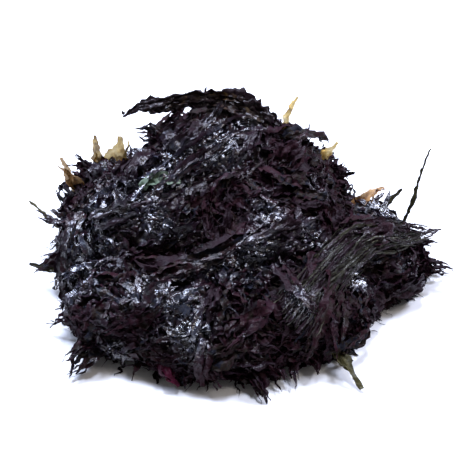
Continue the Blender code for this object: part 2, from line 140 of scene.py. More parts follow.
def walls_of(clump):
    """The planes round a clump's cell, as outward normal and distance from the clump's centre.
    The floor comes first."""
    walls = [(Vector((0, 0, -1)), clump.centre[2] - clump.floor)]
    for other in CLUMPS:
        if other is clump:
            continue
        apart = Vector(other.centre) - Vector(clump.centre)
        span = apart.length
        normal = apart / span
        mine = 1 / oval(clump, normal)
        theirs = 1 / oval(other, normal)
        share = 0.5 + (mine - theirs) / (2 * span**2)
        walls.append((normal, span * min(SEAM_SHARES[1], max(SEAM_SHARES[0], share))))
    return walls


def room(walls, direction, margin):
    """How far a cell lets a point go from its centre, kept a margin off every wall."""
    nearest = FAR
    for normal, distance in walls:
        slope = normal.dot(direction)
        if slope > 1e-6:  # else the wall lies behind, or runs alongside
            nearest = min(nearest, (distance - margin) / slope)
    return nearest


def heap_reach(clump, direction, limit):
    """Distance from the clump's centre to the heap's outside, or the limit if that comes first."""
    centre = Vector(clump.centre)
    if in_heap(centre + direction * limit):
        return limit
    near, far = 0.0, limit
    halvings = 12
    for _ in range(halvings):
        middle = (near + far) / 2
        if in_heap(centre + direction * middle):
            near = middle
        else:
            far = middle
    return near


def outside(clump, walls, direction, depth=0.0):
    """Distance from the clump's centre to its outside in a direction, or to a depth under it."""
    side = room(walls[1:], direction, SEAM_GAP)
    reach = heap_reach(clump, direction, side)
    if reach < side:
        reach -= depth
    reach += HUMP_HEIGHT * 2 * noise.noise((Vector(clump.centre) + direction * reach) * HUMP_SCALE)
    return (reach**-SEAM_SHARPNESS + side**-SEAM_SHARPNESS) ** (-1 / SEAM_SHARPNESS)


def core_reach(clump, walls, direction, depth):
    """Distance to a surface at a depth under the clump's outside, cut off flat at its floor."""
    return min(outside(clump, walls, direction, depth), room(walls[:1], direction, 0))


DIRECTIONS = 110
GOLDEN_TURN = math.pi * (3 - math.sqrt(5))
LOWEST_FROND = 0.007


def open_directions(clump, walls):
    """Directions in which the clump lies open to the outside of the heap, evenly spread."""
    found = []
    for i in range(DIRECTIONS):
        height = 1 - 2 * (i + 0.5) / DIRECTIONS
        ring = math.sqrt(1 - height * height)
        turn = GOLDEN_TURN * i
        direction = Vector((ring * math.cos(turn), ring * math.sin(turn), height))
        side = room(walls[1:], direction, 0)
        low = clump.centre[2] + direction.z * heap_reach(clump, direction, side) < LOWEST_FROND
        if not low and not in_heap(Vector(clump.centre) + direction * side):
            found.append(direction)
    return found


LYING_LENGTH = (0.038, 0.060)
LYING_WIDTH = (0.0075, 0.0135)
LYING_ROWS = 4
STRAY = 18  # how far fronds stray from the way that they run, in degrees
SWEEP = 6  # sideways curve, in metres a square metre of its length
STEEP = 0.85  # a frond that would run this squarely off the surface hangs down it instead
LAYERS = 3
LAYER_STEP = 0.0021
LAYER_SPREAD = 0.001
ROOT_DEPTH = 0.0070
TIP_LIFTS = (0, 0.006, 0.010)


def lying_frond(clump, walls, middle, layer, rng):
    """A ribbon laid along the clump's surface, with its root sunk in and its tip sunk or free."""
    centre = Vector(clump.centre)
    length = rng.uniform(*LYING_LENGTH)
    width = rng.uniform(*LYING_WIDTH)
    heading = math.radians(clump.flow + rng.gauss(0, STRAY))
    forward = Vector((math.cos(heading), math.sin(heading), 0))
    if abs(forward.dot(middle)) > STEEP:
        forward = Vector((0, 0, -1))
    forward = (forward - middle * forward.dot(middle)).normalized()
    sideways = middle.cross(forward)
    sweep = rng.uniform(-SWEEP, SWEEP)
    lift = layer * LAYER_STEP + rng.uniform(0, LAYER_SPREAD)
    tip_lift = rng.choice(TIP_LIFTS)
    start = centre + middle * outside(clump, walls, middle)
    stations = []
    for row in range(LYING_ROWS + 1):
        share = row / LYING_ROWS
        along = (share - 0.5) * length
        point = start + forward * along + sideways * (sweep * along * along)
        direction = (point - centre).normalized()
        sunk = (2 * share - 1) ** 4 * (ROOT_DEPTH + lift)
        if share > 0.5 and tip_lift:
            sunk = -((2 * share - 1) ** 2) * tip_lift
        reach = outside(clump, walls, direction) + lift - sunk
        stations.append((centre + direction * reach, direction))
    return stations, width


TUFT_ROWS = 3
TUFT_ROOT = 0.0025  # depth under the clump's outside that a tuft's roots are measured from
TUFT_BEND = 0.004
TUFT_TILT = 0.6
TUFT_WIDTHS = (0.7, 1.1)  # share of the tuft's own
TUFT_CLEARANCE = 0.002


def tuft_fronds(clump, walls, tuft, rng):
    """Ribbons that leave the clump side by side and fan out round the tuft's tip."""
    centre = Vector(clump.centre)
    for _ in range(tuft.blades):
        tip = Vector(tuft.tip) + Vector([rng.uniform(-1, 1) * tuft.spread for _ in range(3)])
        tip.z = max(tip.z, clump.floor + TUFT_CLEARANCE)
        toward = (tip - centre).normalized()
        root = centre + toward * (core_reach(clump, walls, toward, TUFT_ROOT) - ROOT_DEPTH / 2)
        bend = toward.cross(Vector((0, 0, 1))) * rng.uniform(-TUFT_BEND, TUFT_BEND)
        bend.z += rng.uniform(0, TUFT_BEND)
        facing = Vector((rng.uniform(-TUFT_TILT, TUFT_TILT), rng.uniform(-TUFT_TILT, TUFT_TILT), 1))
        width = tuft.width * rng.uniform(*TUFT_WIDTHS)
        shares = [row / TUFT_ROWS for row in range(TUFT_ROWS + 1)]
        yield [(root.lerp(tip, s) + bend * (4 * s * (1 - s)), facing) for s in shares], width


TIP_WIDTH = 0.0011
ROLL = 0.35  # most that a whole frond is rolled, in radians
TWIST = 0.25  # and any one row of it
ROOT_PHASE = 0.24  # a frond starts this far along a half wave, so its root is already broad
TAPER_START = 0.45
TAPER = 0.72
RAGGED = (0.72, 1.12)  # share of its width that an edge reaches in any one row


def frond_edges(stations, width, rng):
    """The left and right edge of a frond that widens from its root, narrows to a torn tip and
    twists a little on the way."""
    rows = len(stations) - 1
    lefts, rights = [], []
    roll = rng.uniform(-ROLL, ROLL)
    for row, (point, facing) in enumerate(stations):
        share = row / rows
        ahead = (stations[min(row + 1, rows)][0] - stations[max(row - 1, 0)][0]).normalized()
        across = facing.cross(ahead).normalized()
        lifted = ahead.cross(across)
        angle = roll + rng.uniform(-TWIST, TWIST)
        across = across * math.cos(angle) + lifted * math.sin(angle)
        body = math.sin(math.pi * min(0.5, ROOT_PHASE + share))
        body *= 1 - max(0, share - TAPER_START) / (1 - TAPER_START) * TAPER
        for edge, sign in ((lefts, -1), (rights, 1)):
            half = max(TIP_WIDTH, width * body * rng.uniform(*RAGGED)) / 2
            edge.append(point + across * (sign * half))
    return lefts, rights


CELL_MARGIN = 0.0008


def bent_clear(point, clump, walls):
    """A point drawn in toward the clump's centre until it is inside the clump's cell."""
    centre = Vector(clump.centre)
    offset = point - centre
    limit = room(walls, offset.normalized(), CELL_MARGIN)
    return centre + offset * min(1.0, limit / offset.length)


def smooth_rows(points, rows):
    """Evenly spaced rows on one smooth curve through hand-set points (Catmull-Rom)."""
    knots = np.array(points, float)
    knots = np.vstack([2 * knots[0] - knots[1], knots, 2 * knots[-1] - knots[-2]])
    place = np.linspace(0, len(knots) - 3, rows)
    # Evenly spaced rows on one smooth curve through given points (Catmull-Rom).
    span = np.minimum(place.astype(int), len(knots) - 4)
    t = (place - span)[:, None]
    a, b, c, d = (knots[span + i] for i in range(4))
    square, cube = 2 * a - 5 * b + 4 * c - d, 3 * b - a - 3 * c + d
    return 0.5 * (2 * b + (c - a) * t + square * t**2 + cube * t**3)


def units(vectors):
    """The vectors at length 1."""
    return vectors / np.maximum(np.linalg.norm(vectors, axis=-1, keepdims=True), 1e-9)


noise.seed_set(5)  # else the vector noise starts from the clock, and each run differs


def wrinkles(points, scale, seed):
    """A smooth random vector for each point, alike for near points."""
    shape = points.shape
    moved = points.reshape(-1, 3) * scale + seed
    return np.array([noise.noise_vector(point) for point in moved]).reshape(shape)


def creases(points, scale, seed):
    """Flat facets that meet in sharp creases, as crumpled film has. From about -1 to 1."""
    moved = points.reshape(-1, 3) * scale + seed
    first = np.array([noise.noise(point) for point in moved])
    second = np.array([noise.noise(point * 2.1 + 7.0) for point in moved])
    return (1 - 3.2 * np.abs(first) - 1.1 * np.abs(second)).reshape(points.shape[:-1])


def wave(share, waves, rng):
    """A sine along a frond, with a number of waves drawn from a range and a start of its own."""
    return np.sin(2 * math.pi * (share * rng.uniform(*waves) + rng.random()))


PLEAT_HEIGHT = 0.0005
PLEAT_PITCH = 0.0032
EDGE_WAVE = 0.22  # share of the half width
CREASE_SCALE = 190  # facets about 5 mm across
WRINKLE_SCALE = 420  # and wrinkles about 2.4 mm apart on them
SKIN_CLEARANCE = 0.0002  # lowest that a skin lies over the floor


def membrane(middle, across, half, columns, rng, curl=0.3, crumple=0.0009, torn=0.16):
    """A grid of points for one shrivelled ribbon. Its edges are torn and curl, it runs in a few
    lengthwise pleats, and the whole of it is crumpled."""
    rows = len(middle)
    ahead = units(np.gradient(middle, axis=0))
    across = units(across - ahead * (across * ahead).sum(-1, keepdims=True))
    normal = np.cross(ahead, across)
    v = np.linspace(-1, 1, columns)[None, :, None]
    s = np.linspace(0, 1, rows)[:, None, None]
    half = np.asarray(half, float)[:, None, None]
    waves = np.sin(2 * math.pi * (s[:, 0] * rng.uniform(1.2, 3.4, 2) + rng.random(2)))
    tears = rng.standard_normal((rows + 2, 2))
    tears = (tears[:-2] + 1.5 * tears[1:-1] + tears[2:]) / 1.9
    edge = np.clip(1 + EDGE_WAVE * waves + torn * tears, 0.3, 1.5)
    reach = np.where(v < 0, edge[:, :1, None], edge[:, 1:, None])
    folds = max(1.0, 2 * float(half.max()) / PLEAT_PITCH)
    swing = 2.2 * wave(s, (0.5, 1.6), rng)
    height = PLEAT_HEIGHT * np.sin(math.pi * folds * v + rng.uniform(0, 6.3) + swing)
    height = height * np.minimum(1, half / 0.002) + curl * half * v**2
    grid = middle[:, None] + across[:, None] * (half * v * reach) + normal[:, None] * height
    seed = rng.uniform(0, 90)
    grid += normal[:, None] * (creases(grid, CREASE_SCALE, seed) * crumple)[..., None]
    grid += wrinkles(grid, WRINKLE_SCALE, seed + 5) * (0.7 * crumple)
    lowest = SKIN_CLEARANCE + 2 * SKIN_CLEARANCE * rng.random((rows, columns))
    grid[..., 2] = np.maximum(grid[..., 2], lowest)
    return grid


# The finer fronds of the clumps. Sheets of laver tear into thousands of small pieces as they are
# pulled apart. They lie on the whole heap, one over another, and run with the clump under them.


def heap_slope(points):
    """How far inside the heap's outside each point is (the logarithm of its fill), and the fill's
    slope and the clumps' shares there."""
    weights, slopes = [], []
    for clump in CLUMPS:
        turn = math.radians(clump.turn)
        cos, sin = math.cos(turn), math.sin(turn)
        axes = np.array([[cos, -sin, 0], [sin, cos, 0], [0, 0, 1]])
        local = (points - np.array(clump.centre)) @ axes
        scaled = local / np.array(clump.radii) ** 2
        weights.append(np.exp(BLEND * (1 - (local * scaled).sum(-1))))
        slopes.append(-2 * BLEND * scaled @ axes.T)
    weights = np.array(weights)
    fill = weights.sum(0)
    slope = (weights[..., None] * np.array(slopes)).sum(0) / fill[:, None]
    return np.log(fill), slope, weights / fill


PULLS = 4  # steps toward the heap's outside, each held short so that none overshoots
LONGEST_PULL = 4e-5


def onto_heap(points):
    """The points drawn onto the heap's outside, with the outward normal and the clumps' shares."""
    for _ in range(PULLS):
        fill, slope, shares = heap_slope(points)
        pull = (fill / (slope**2).sum(-1))[:, None].clip(-LONGEST_PULL, LONGEST_PULL)
        points = points - slope * pull
    fill, slope, shares = heap_slope(points)
    return points, -units(slope), shares


LANDED = 0.0012  # height under which a frond runs out along the floor
RUN_OUT = 0.35  # share of its step that it still makes there
RUN_HEIGHT = 0.0008


def onto_heap_or_floor(points, landed):
    """The next points of the fronds. One that has come down to the floor runs out along it."""
    drawn, normals, shares = onto_heap(points)
    drawn[landed] = points[landed]
    drawn[:, 2] = np.maximum(drawn[:, 2], RUN_HEIGHT)
    return drawn, normals, shares


HEAP_LOW = np.array((-0.11, -0.12, 0.001))
HEAP_HIGH = np.array((0.125, 0.09, 0.08))
TRIES = 14  # for each frond, enough to find a start near the outside
NEAR = 1.2  # how far off the outside a start may be, in the logarithm of the heap's fill
FINE_STRAY = 55  # degrees
FINE_BEND = 9  # radians a metre


def scattered_fronds(count, lengths, widths, rows, seed):
    """Paths of fronds all over the heap. Gives their points, normals, half widths and clump."""
    rng = np.random.default_rng(seed)
    starts = HEAP_LOW + (HEAP_HIGH - HEAP_LOW) * rng.random((count * TRIES, 3))
    fill, _, _ = heap_slope(starts)
    starts = starts[np.abs(fill) < NEAR][:count]
    count = len(starts)
    points, normals, shares = onto_heap(starts)
    owner = shares.argmax(0)
    length = rng.uniform(*lengths, count)
    step = (length / (rows - 1))[:, None]
    flows = np.radians([clump.flow for clump in CLUMPS])
    offset = np.radians(rng.normal(0, FINE_STRAY, count))
    bend = rng.normal(0, FINE_BEND, count) * step[:, 0]
    track, facing = [], []
    for row in range(rows):
        track.append(points)
        facing.append(normals)
        east = (shares * np.cos(flows)[:, None]).sum(0)
        north = (shares * np.sin(flows)[:, None]).sum(0)
        heading = np.arctan2(north, east) + offset + bend * row
        along = np.stack([np.cos(heading), np.sin(heading), np.zeros(count)], 1)
        along = units(along - normals * (along * normals).sum(-1, keepdims=True))
        landed = points[:, 2] < LANDED
        level = units(normals * np.array((1, 1, 0)))
        along[landed] = level[landed] * RUN_OUT
        points, normals, shares = onto_heap_or_floor(points + along * step, landed)
    track, facing = np.stack(track, 1), np.stack(facing, 1)
    return rng, track, facing, rng.uniform(*widths, count) / 2, owner


def linear(hex_colour):
    """A colour given as sRGB hex, as linear RGBA."""
    parts = [int(hex_colour[i : i + 2], 16) / 255 for i in (1, 3, 5)]
    return (*[c / 12.92 if c <= 0.04045 else ((c + 0.055) / 1.055) ** 2.4 for c in parts], 1)


def add_node(material, kind, settings=(), links=()):
    """A node with its settings, and the outputs that feed its inputs, by name or number."""
    made = material.node_tree.nodes.new(kind)
    for key, value in dict(settings).items():
        if hasattr(made, key):
            setattr(made, key, value)
        else:
            made.inputs[key].default_value = value
    for socket, source in dict(links).items():
        material.node_tree.links.new(source, made.inputs[socket])
    return made


# The skin is glossy only where it dried taut. The glints cluster in those patches, and there the
# colour is also mixed toward a painted sheen. Between them it is nearly black with a wine tint.
# Each patch has its middle and its radius.
GLOSSY_AND_PAINTED_SHEEN_PATCHES = [
    ((-0.026, -0.006, 0.060), 0.011), ((-0.002, -0.004, 0.063), 0.010), ((-0.001, 0.006, 0.067), 0.007),
    ((0.011, 0.015, 0.065), 0.006), ((-0.035, -0.021, 0.056), 0.010), ((-0.050, -0.031, 0.051), 0.010),
    ((-0.059, -0.024, 0.048), 0.009), ((-0.064, -0.044, 0.036), 0.012), ((-0.072, -0.059, 0.025), 0.009),
    ((-0.033, -0.043, 0.047), 0.009), ((0.015, -0.054, 0.040), 0.009), ((-0.002, -0.061, 0.033), 0.009),
    ((0.042, -0.044, 0.043), 0.006), ((0.066, -0.059, 0.027), 0.006), ((-0.022, -0.079, 0.031), 0.010),
    ((-0.038, -0.075, 0.033), 0.006), ((-0.015, -0.097, 0.025), 0.009), ((-0.049, -0.091, 0.009), 0.007),
    ((0.052, -0.049, 0.034), 0.005), ((0.036, -0.077, 0.030), 0.006), ((0.023, -0.038, 0.050), 0.007),
    ((0.036, 0.044, 0.040), 0.007), ((0.018, 0.058, 0.032), 0.009), ((-0.004, 0.048, 0.050), 0.006),
    ((-0.022, 0.064, 0.026), 0.008), ((-0.052, 0.036, 0.036), 0.009), ((-0.038, 0.054, 0.022), 0.005),
    ((0.080, -0.005, 0.024), 0.010), ((-0.080, -0.015, 0.020), 0.009), ((0.060, 0.034, 0.022), 0.007),
]


def gloss_and_painted_sheen_of(points):
    """How near each point is to the middle of a glossy patch, which also has a painted shine in its
    colour: 1 there, and 0 well away.
    """
    amount = np.zeros(len(points))
    for middle, radius in GLOSSY_AND_PAINTED_SHEEN_PATCHES:
        amount += np.exp(-((points - np.array(middle)) ** 2).sum(-1) / radius**2)
    return amount


# The skin of dried laver is a thin gel film, like leaf gelatine, that shrank as it dried. It gives
# the eye a nearly black wine tint, mottled, and a hard wet glint wherever it dried taut. The coat is
# that glint. Where it is taut its colour is also mixed toward a paler tint, a painted sheen that
# stands for the many small glints there. IOR is low for the rest, which dried dull and matt.
BLOTCH_SCALE = 260  # blotches about 4 mm across
DRIFT_SCALE = 55  # taut and slack stretches about 18 mm across
PUCKER_SCALE = 800  # puckers 1.25 mm apart, three times as coarse as the real ones, so that they show
PUCKER_DEPTH = 0.0006
SKIN_IOR = 1.22
GLINT_IOR = 1.85
GLINT_ROUGHNESS = 0.09


def membrane_material(name, tones, painted_sheen, rough, clear=0.0, mottle=0.5):
    """Shrivelled seaweed skin: mottled in its tones, with a painted shine laid into its colour and a
    glint where it is stretched tight, and puckered all over. How rough it is varies with the blotches."""
    material = bpy.data.materials.new(name)
    material.use_nodes = True
    material.node_tree.nodes.clear()
    place = add_node(material, "ShaderNodeTexCoord").outputs["Object"]
    blotch = add_node(
        material, "ShaderNodeTexNoise", {"Scale": BLOTCH_SCALE, "Detail": 3}, {"Vector": place}
    ).outputs["Fac"]

    tone = add_node(material, "ShaderNodeAttribute", {"attribute_name": "tone"}).outputs["Fac"]
    uneven = add_node(
        material, "ShaderNodeMapRange",
        {"From Min": 0.25, "From Max": 0.75, "To Min": -mottle, "To Max": mottle}, {"Value": blotch},
    ).outputs["Result"]
    shade = add_node(material, "ShaderNodeMath", {"operation": "ADD"}, {0: tone, 1: uneven})
    ramp = add_node(material, "ShaderNodeValToRGB", links={"Fac": shade.outputs["Value"]})
    for i, (at, colour) in enumerate(tones):
        stop = ramp.color_ramp.elements[i] if i < 2 else ramp.color_ramp.elements.new(at)
        stop.position = at
        stop.color = linear(colour)

    drift = add_node(material, "ShaderNodeTexNoise", {"Scale": DRIFT_SCALE, "Detail": 2}, {"Vector": place})
    patch = add_node(material, "ShaderNodeAttribute", {"attribute_name": "gloss_and_painted_sheen"}).outputs["Fac"]
    pull = add_node(material, "ShaderNodeMath", {"operation": "ADD"}, {0: patch, 1: drift.outputs["Fac"]})
    # Where the skin is taut it has a glossy coat, and the same share lays the painted sheen into its colour.
    taut_and_painted_sheen = add_node(
        material, "ShaderNodeMapRange", {"From Min": 0.50, "From Max": 1.20},
        {"Value": pull.outputs["Value"]},
    ).outputs["Result"]
    speck = add_node(
        material, "ShaderNodeMapRange", {"From Min": 0.38, "From Max": 0.68}, {"Value": blotch}
    ).outputs["Result"]
    # Painted sheen: a paler tint mixed into the colour where the skin is taut and blotched, for glints.
    painted_sheen_share = add_node(material, "ShaderNodeMath", {"operation": "MULTIPLY"}, {0: taut_and_painted_sheen, 1: speck})
    mixed = add_node(
        material, "ShaderNodeMix", {"data_type": "RGBA", "B": linear(painted_sheen)},
        {"Factor": painted_sheen_share.outputs["Value"], "A": ramp.outputs["Color"]},
    )

    dull = add_node(
        material, "ShaderNodeMapRange",
        {"From Min": 0.3, "From Max": 0.7, "To Min": rough[0], "To Max": rough[1]}, {"Value": blotch},
    ).outputs["Result"]
    pucker = add_node(material, "ShaderNodeTexNoise", {"Scale": PUCKER_SCALE, "Detail": 2}, {"Vector": place})
    bump = add_node(
        material, "ShaderNodeBump", {"Strength": 0.8, "Distance": PUCKER_DEPTH},
        {"Height": pucker.outputs["Fac"]},
    ).outputs["Normal"]
    shader = add_node(
        material, "ShaderNodeBsdfPrincipled",
        {
            "IOR": SKIN_IOR, "Transmission Weight": clear,
            "Coat IOR": GLINT_IOR, "Coat Roughness": GLINT_ROUGHNESS,
        },
        {
            "Base Color": mixed.outputs["Result"], "Roughness": dull, "Normal": bump,
            "Coat Weight": taut_and_painted_sheen, "Coat Normal": bump,
        },
    )
    add_node(material, "ShaderNodeOutputMaterial", links={"Surface": shader.outputs["BSDF"]})
    return material


# Laver from wine red through brown to a blue black, all of it very dark.
LAVER_TONES = [
    (0.0, "#16060f"), (0.45, "#1b0711"), (0.66, "#240812"),
    (0.80, "#1a0a0b"), (0.93, "#1c150e"), (1.0, "#12111c"),
]
# The blue grey after the tones is a painted sheen, laid into the colour where the skin is taut.
laver = membrane_material("laver membrane", LAVER_TONES, "#2c303e", (0.44, 0.68), mottle=0.25)
CORE_TONE = 0.1


def make_piece(name, ribbons, material, slot, node, core=None, gloss_and_painted_sheen=1.0):
    """One mesh from many ribbons, each a grid of points and a tone, which stands for a CAD node."""
    points, faces, tones, first = [], [], [], 0
    if core:
        points.append(np.array(core[0]))
        faces.extend(core[1])
        tones.append(np.full(len(core[0]), CORE_TONE))
        first = len(core[0])
    for grid, tone in ribbons:
        rows, columns = grid.shape[:2]
        index = first + np.arange(rows * columns).reshape(rows, columns)
        quads = np.stack([index[:-1, :-1], index[1:, :-1], index[1:, 1:], index[:-1, 1:]], -1)
        faces.extend(quads.reshape(-1, 4).tolist())
        points.append(grid.reshape(-1, 3))
        tones.append(np.full(rows * columns, tone))
        first += rows * columns
    mesh = bpy.data.meshes.new(name)
    mesh.from_pydata((np.concatenate(points) - np.array(HEAP_MIDDLE)).tolist(), [], faces)
    mesh.attributes.new("tone", "FLOAT", "POINT").data.foreach_set("value", np.concatenate(tones))
    # How glossy each point is, which also sets how much painted sheen its colour gets.
    taut_and_painted_sheen = gloss_and_painted_sheen_of(np.concatenate(points)) * gloss_and_painted_sheen
    mesh.attributes.new("gloss_and_painted_sheen", "FLOAT", "POINT").data.foreach_set("value", taut_and_painted_sheen)
    mesh.polygons.foreach_set("use_smooth", [True] * len(mesh.polygons))
    mesh.materials.append(material)
    piece = bpy.data.objects.new(name, mesh)
    bpy.context.scene.collection.objects.link(piece)
    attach(piece, "root")
    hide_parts(node)


CORE_SUBDIVISIONS = 3
CORE_DEPTH = 0.0045
CORE_LUMP_SCALE = 260
CORE_LUMP_HEIGHT = 0.0016
CORE_FOOT = 0.003  # height over its floor up to which the core stays smooth


def pressed_core(clump, walls):
    """The lumpy dark core of a clump, as points and faces."""
    bm = bmesh.new()
    bmesh.ops.create_icosphere(bm, subdivisions=CORE_SUBDIVISIONS, radius=1)
    for vert in bm.verts:
        direction = vert.co.normalized()
        vert.co = Vector(clump.centre) + direction * core_reach(clump, walls, direction, CORE_DEPTH)
    bmesh.ops.subdivide_edges(bm, edges=bm.edges, cuts=1, use_grid_fill=True)
    bmesh.ops.triangulate(bm, faces=bm.faces)
    for vert in bm.verts:
        if vert.co.z > clump.floor + CORE_FOOT:
            vert.co += noise.noise_vector(vert.co * CORE_LUMP_SCALE) * CORE_LUMP_HEIGHT
    points = [tuple(vert.co) for vert in bm.verts]
    faces = [[vert.index for vert in face.verts] for face in bm.faces]
    bm.free()
    return points, faces


STRIP_WIDTH = 0.0030
STRIP_ROWS = 40
STRIP_LIFT = (-0.0014, 0.0005)
STRIP_HEAVE = 0.0009
STRIP_START, STRIP_END = (0, 0.35), (0.65, 1.0)  # shares of the frond's length
STRIP_SHARE = (0.5, 0.85)  # of the room that each strip has, so that some gape apart
LYING_CRUMPLE, LYING_TORN = 0.0013, 0.30
FREE_CRUMPLE, FREE_TORN = 0.0006, 0.20


def torn_strips(lefts, rights, rng, free=False):
    """A broad frond torn lengthwise into strips, which lie a little over and under one another."""
    line = (lefts + rights) / 2
    across, ahead = units(rights - lefts), units(np.gradient(line, axis=0))
    normal, width = np.cross(ahead, across), np.linalg.norm(rights - lefts, axis=1)
    count = max(2, round(float(width.max()) / STRIP_WIDTH))
    share = np.linspace(0, 1, len(line))
    tone = rng.random()
    for i in range(count):
        at = (i + 0.5 + rng.normal(0, 0.18)) / count
        first, last = rng.uniform(*STRIP_START), rng.uniform(*STRIP_END)
        part = slice(int(first * len(line)), int(last * len(line)))
        if free and i == count // 2:
            part = slice(0, len(line))
        lift = rng.uniform(*STRIP_LIFT) + STRIP_HEAVE * wave(share, (0.8, 2.4), rng)
        strip = lefts + (rights - lefts) * at + normal * lift[:, None]
        roll = rng.normal(0, 0.35) + share * rng.normal(0, 0.6)
        turned = across * np.cos(roll)[:, None] + normal * np.sin(roll)[:, None]
        half = width / count * rng.uniform(*STRIP_SHARE)
        ends = np.sin(math.pi * np.linspace(0.12, 0.92, part.stop - part.start)) ** 0.6
        grid = membrane(
            strip[part], turned[part], half[part] * ends, 6, rng, curl=rng.normal(0, 0.25),
            crumple=FREE_CRUMPLE if free else LYING_CRUMPLE, torn=FREE_TORN if free else LYING_TORN,
        )
        yield grid, (tone + rng.normal(0, 0.12)) % 1


# Count, lengths, widths, lifts over the heap's outside, rows, columns, crumple and seed, from the
# broadest pieces, which show as torn flaps, to shreds as thin as a hair.
SCATTER = [
    (260, (0.016, 0.034), (0.0060, 0.0110), (-0.0032, 0.0000), 20, 12, 0.0014, 5),
    (1300, (0.008, 0.024), (0.0028, 0.0062), (-0.0024, 0.0008), 18, 6, 0.0011, 6),
    (1700, (0.006, 0.020), (0.0010, 0.0024), (-0.0014, 0.0012), 16, 3, 0.0006, 7),
    (1100, (0.008, 0.028), (0.0003, 0.0006), (-0.0010, 0.0016), 14, 2, 0.0003, 8),
]
GREEN_FLAKE = np.array((-0.031, -0.024, 0.057))  # kept bare, so that the green frond there shows
BARE_RADIUS = 0.0075
NARROW = 0.0016  # half width under which a frond turns over freely
WEAVE = (0.0002, 0.0013)
HEAVE = (0, 0.0009)
ROOT_SINK = 0.003
TIP_RISES = (-0.003, 0.0, 0.001, 0.003)
fine_fronds = {clump.name: [] for clump in CLUMPS}
for count, lengths, widths, lifts, rows, columns, crumple, seed in SCATTER:
    rng, tracks, facings, halves, owners = scattered_fronds(count, lengths, widths, rows, seed)
    share = np.linspace(0, 1, rows)
    for track, facing, half, owner in zip(tracks, facings, halves, owners):
        if np.linalg.norm(track - GREEN_FLAKE, axis=1).min() < BARE_RADIUS:
            continue
        lift = rng.uniform(*lifts)
        rise = lift - ROOT_SINK * (1 - share) ** 6 + rng.choice(TIP_RISES) * share**4
        ahead = units(np.gradient(track, axis=0))
        side = units(np.cross(facing, ahead))
        weave = wave(share, (0.8, 3.0), rng) * rng.uniform(*WEAVE)
        heave = wave(share, (1.0, 3.5), rng) * rng.uniform(*HEAVE)
        middle = track + facing * (rise + heave)[:, None] + side * weave[:, None]
        turn = 0.9 if half < NARROW else 0.4
        roll = rng.normal(0, turn) + share * rng.normal(0, 1.5 * turn)
        across = side * np.cos(roll)[:, None] + facing * np.sin(roll)[:, None]
        body = np.sin(math.pi * np.minimum(0.5, 0.12 + share))
        body = body * (1 - np.maximum(0, share - 0.5) ** 1.5 * 2.4)
        grid = membrane(
            middle, across, half * np.maximum(body, 0.12), columns, rng, curl=rng.normal(0, 0.3),
            crumple=crumple,
        )
        fine_fronds[CLUMPS[owner].name].append((grid, rng.random()))

for seed, clump in enumerate(CLUMPS, start=11):
    rng = random.Random(seed)
    walls = walls_of(clump)
    places = open_directions(clump, walls)
    step = max(1.0, len(places) / clump.fronds)
    chosen = [places[int(i * step)] for i in range(min(clump.fronds, len(places)))]
    fronds = [
        (*lying_frond(clump, walls, middle, i % LAYERS, rng), False) for i, middle in enumerate(chosen)
    ]
    for tuft in TUFTS.get(clump.name, ()):
        fronds.extend((*frond, True) for frond in tuft_fronds(clump, walls, Tuft(*tuft), rng))
    fine = np.random.default_rng(seed)
    ribbons = []
    for stations, width, free in fronds:
        lefts, rights = frond_edges(stations, width, rng)
        lefts = smooth_rows([bent_clear(point, clump, walls) for point in lefts], STRIP_ROWS)
        rights = smooth_rows([bent_clear(point, clump, walls) for point in rights], STRIP_ROWS)
        ribbons.extend(torn_strips(lefts, rights, fine, free))
    make_piece(
        clump.name.replace("clump", "laver"), ribbons + fine_fronds[clump.name], laver, "laver",
        clump.name, pressed_core(clump, walls),
    )


# The crest. One long frond arches over the top of the heap and its tip stands free on the left. It
# dried thinner and browner than the rest, and split into a few torn ribbons with gaps between them.

Loose = namedtuple("Loose", "name path width facing rows")
CREST = Loose(
    "frond_crest",
    [(0.025, 0.010, 0.060), (0.020, 0.018, 0.0695), (0.008, 0.022, 0.0745), (-0.010, 0.022, 0.077),
     (-0.030, 0.022, 0.0755), (-0.044, 0.024, 0.071), (-0.053, 0.026, 0.064)],
    0.011, (0.1, -0.7, 1), 10,
)
CREST_SEED = 71
SPLITS = 6
SPLIT_WIDTH = (0.0008, 0.0030)
SPLIT_SPREAD = 0.0040
SPLIT_RISE = 0.001
BARBS = 5
BARB_LENGTH = (0.002, 0.006)
BARB_WIDTH = (0.0005, 0.0014)
# The thin frond browned in the light, so it gives the eye a warm edge here and there on near black.
# Its grey after the tones is a painted sheen, laid in where it is taut.
browned = membrane_material(
    "browned membrane",
    [(0.0, "#15080e"), (0.5, "#1b0c10"), (0.80, "#221510"), (0.97, "#3a2917"), (1.0, "#4d3c22")],
    "#38363a", (0.42, 0.64), mottle=0.3,
)


ROW_STEP = 0.0009


def band_of(frond, seed):
    """A frond's middle line, its directions across and off the band, and its half width."""
    facing = Vector(frond.facing)
    stations = [(Vector(point), facing) for point in smooth_rows(frond.path, frond.rows + 1)]
    lefts, rights = frond_edges(stations, frond.width, random.Random(seed))
    length = sum((b[0] - a[0]).length for a, b in zip(stations, stations[1:]))
    rows = int(length / ROW_STEP) + 8
    lefts, rights = smooth_rows(lefts, rows), smooth_rows(rights, rows)
    middle, across = (lefts + rights) / 2, units(rights - lefts)
    normal = units(np.cross(np.gradient(middle, axis=0), across))
    return middle, across, normal, np.linalg.norm(rights - lefts, axis=1) / 2


SWAY = 0.0015
RISE = 0.0009


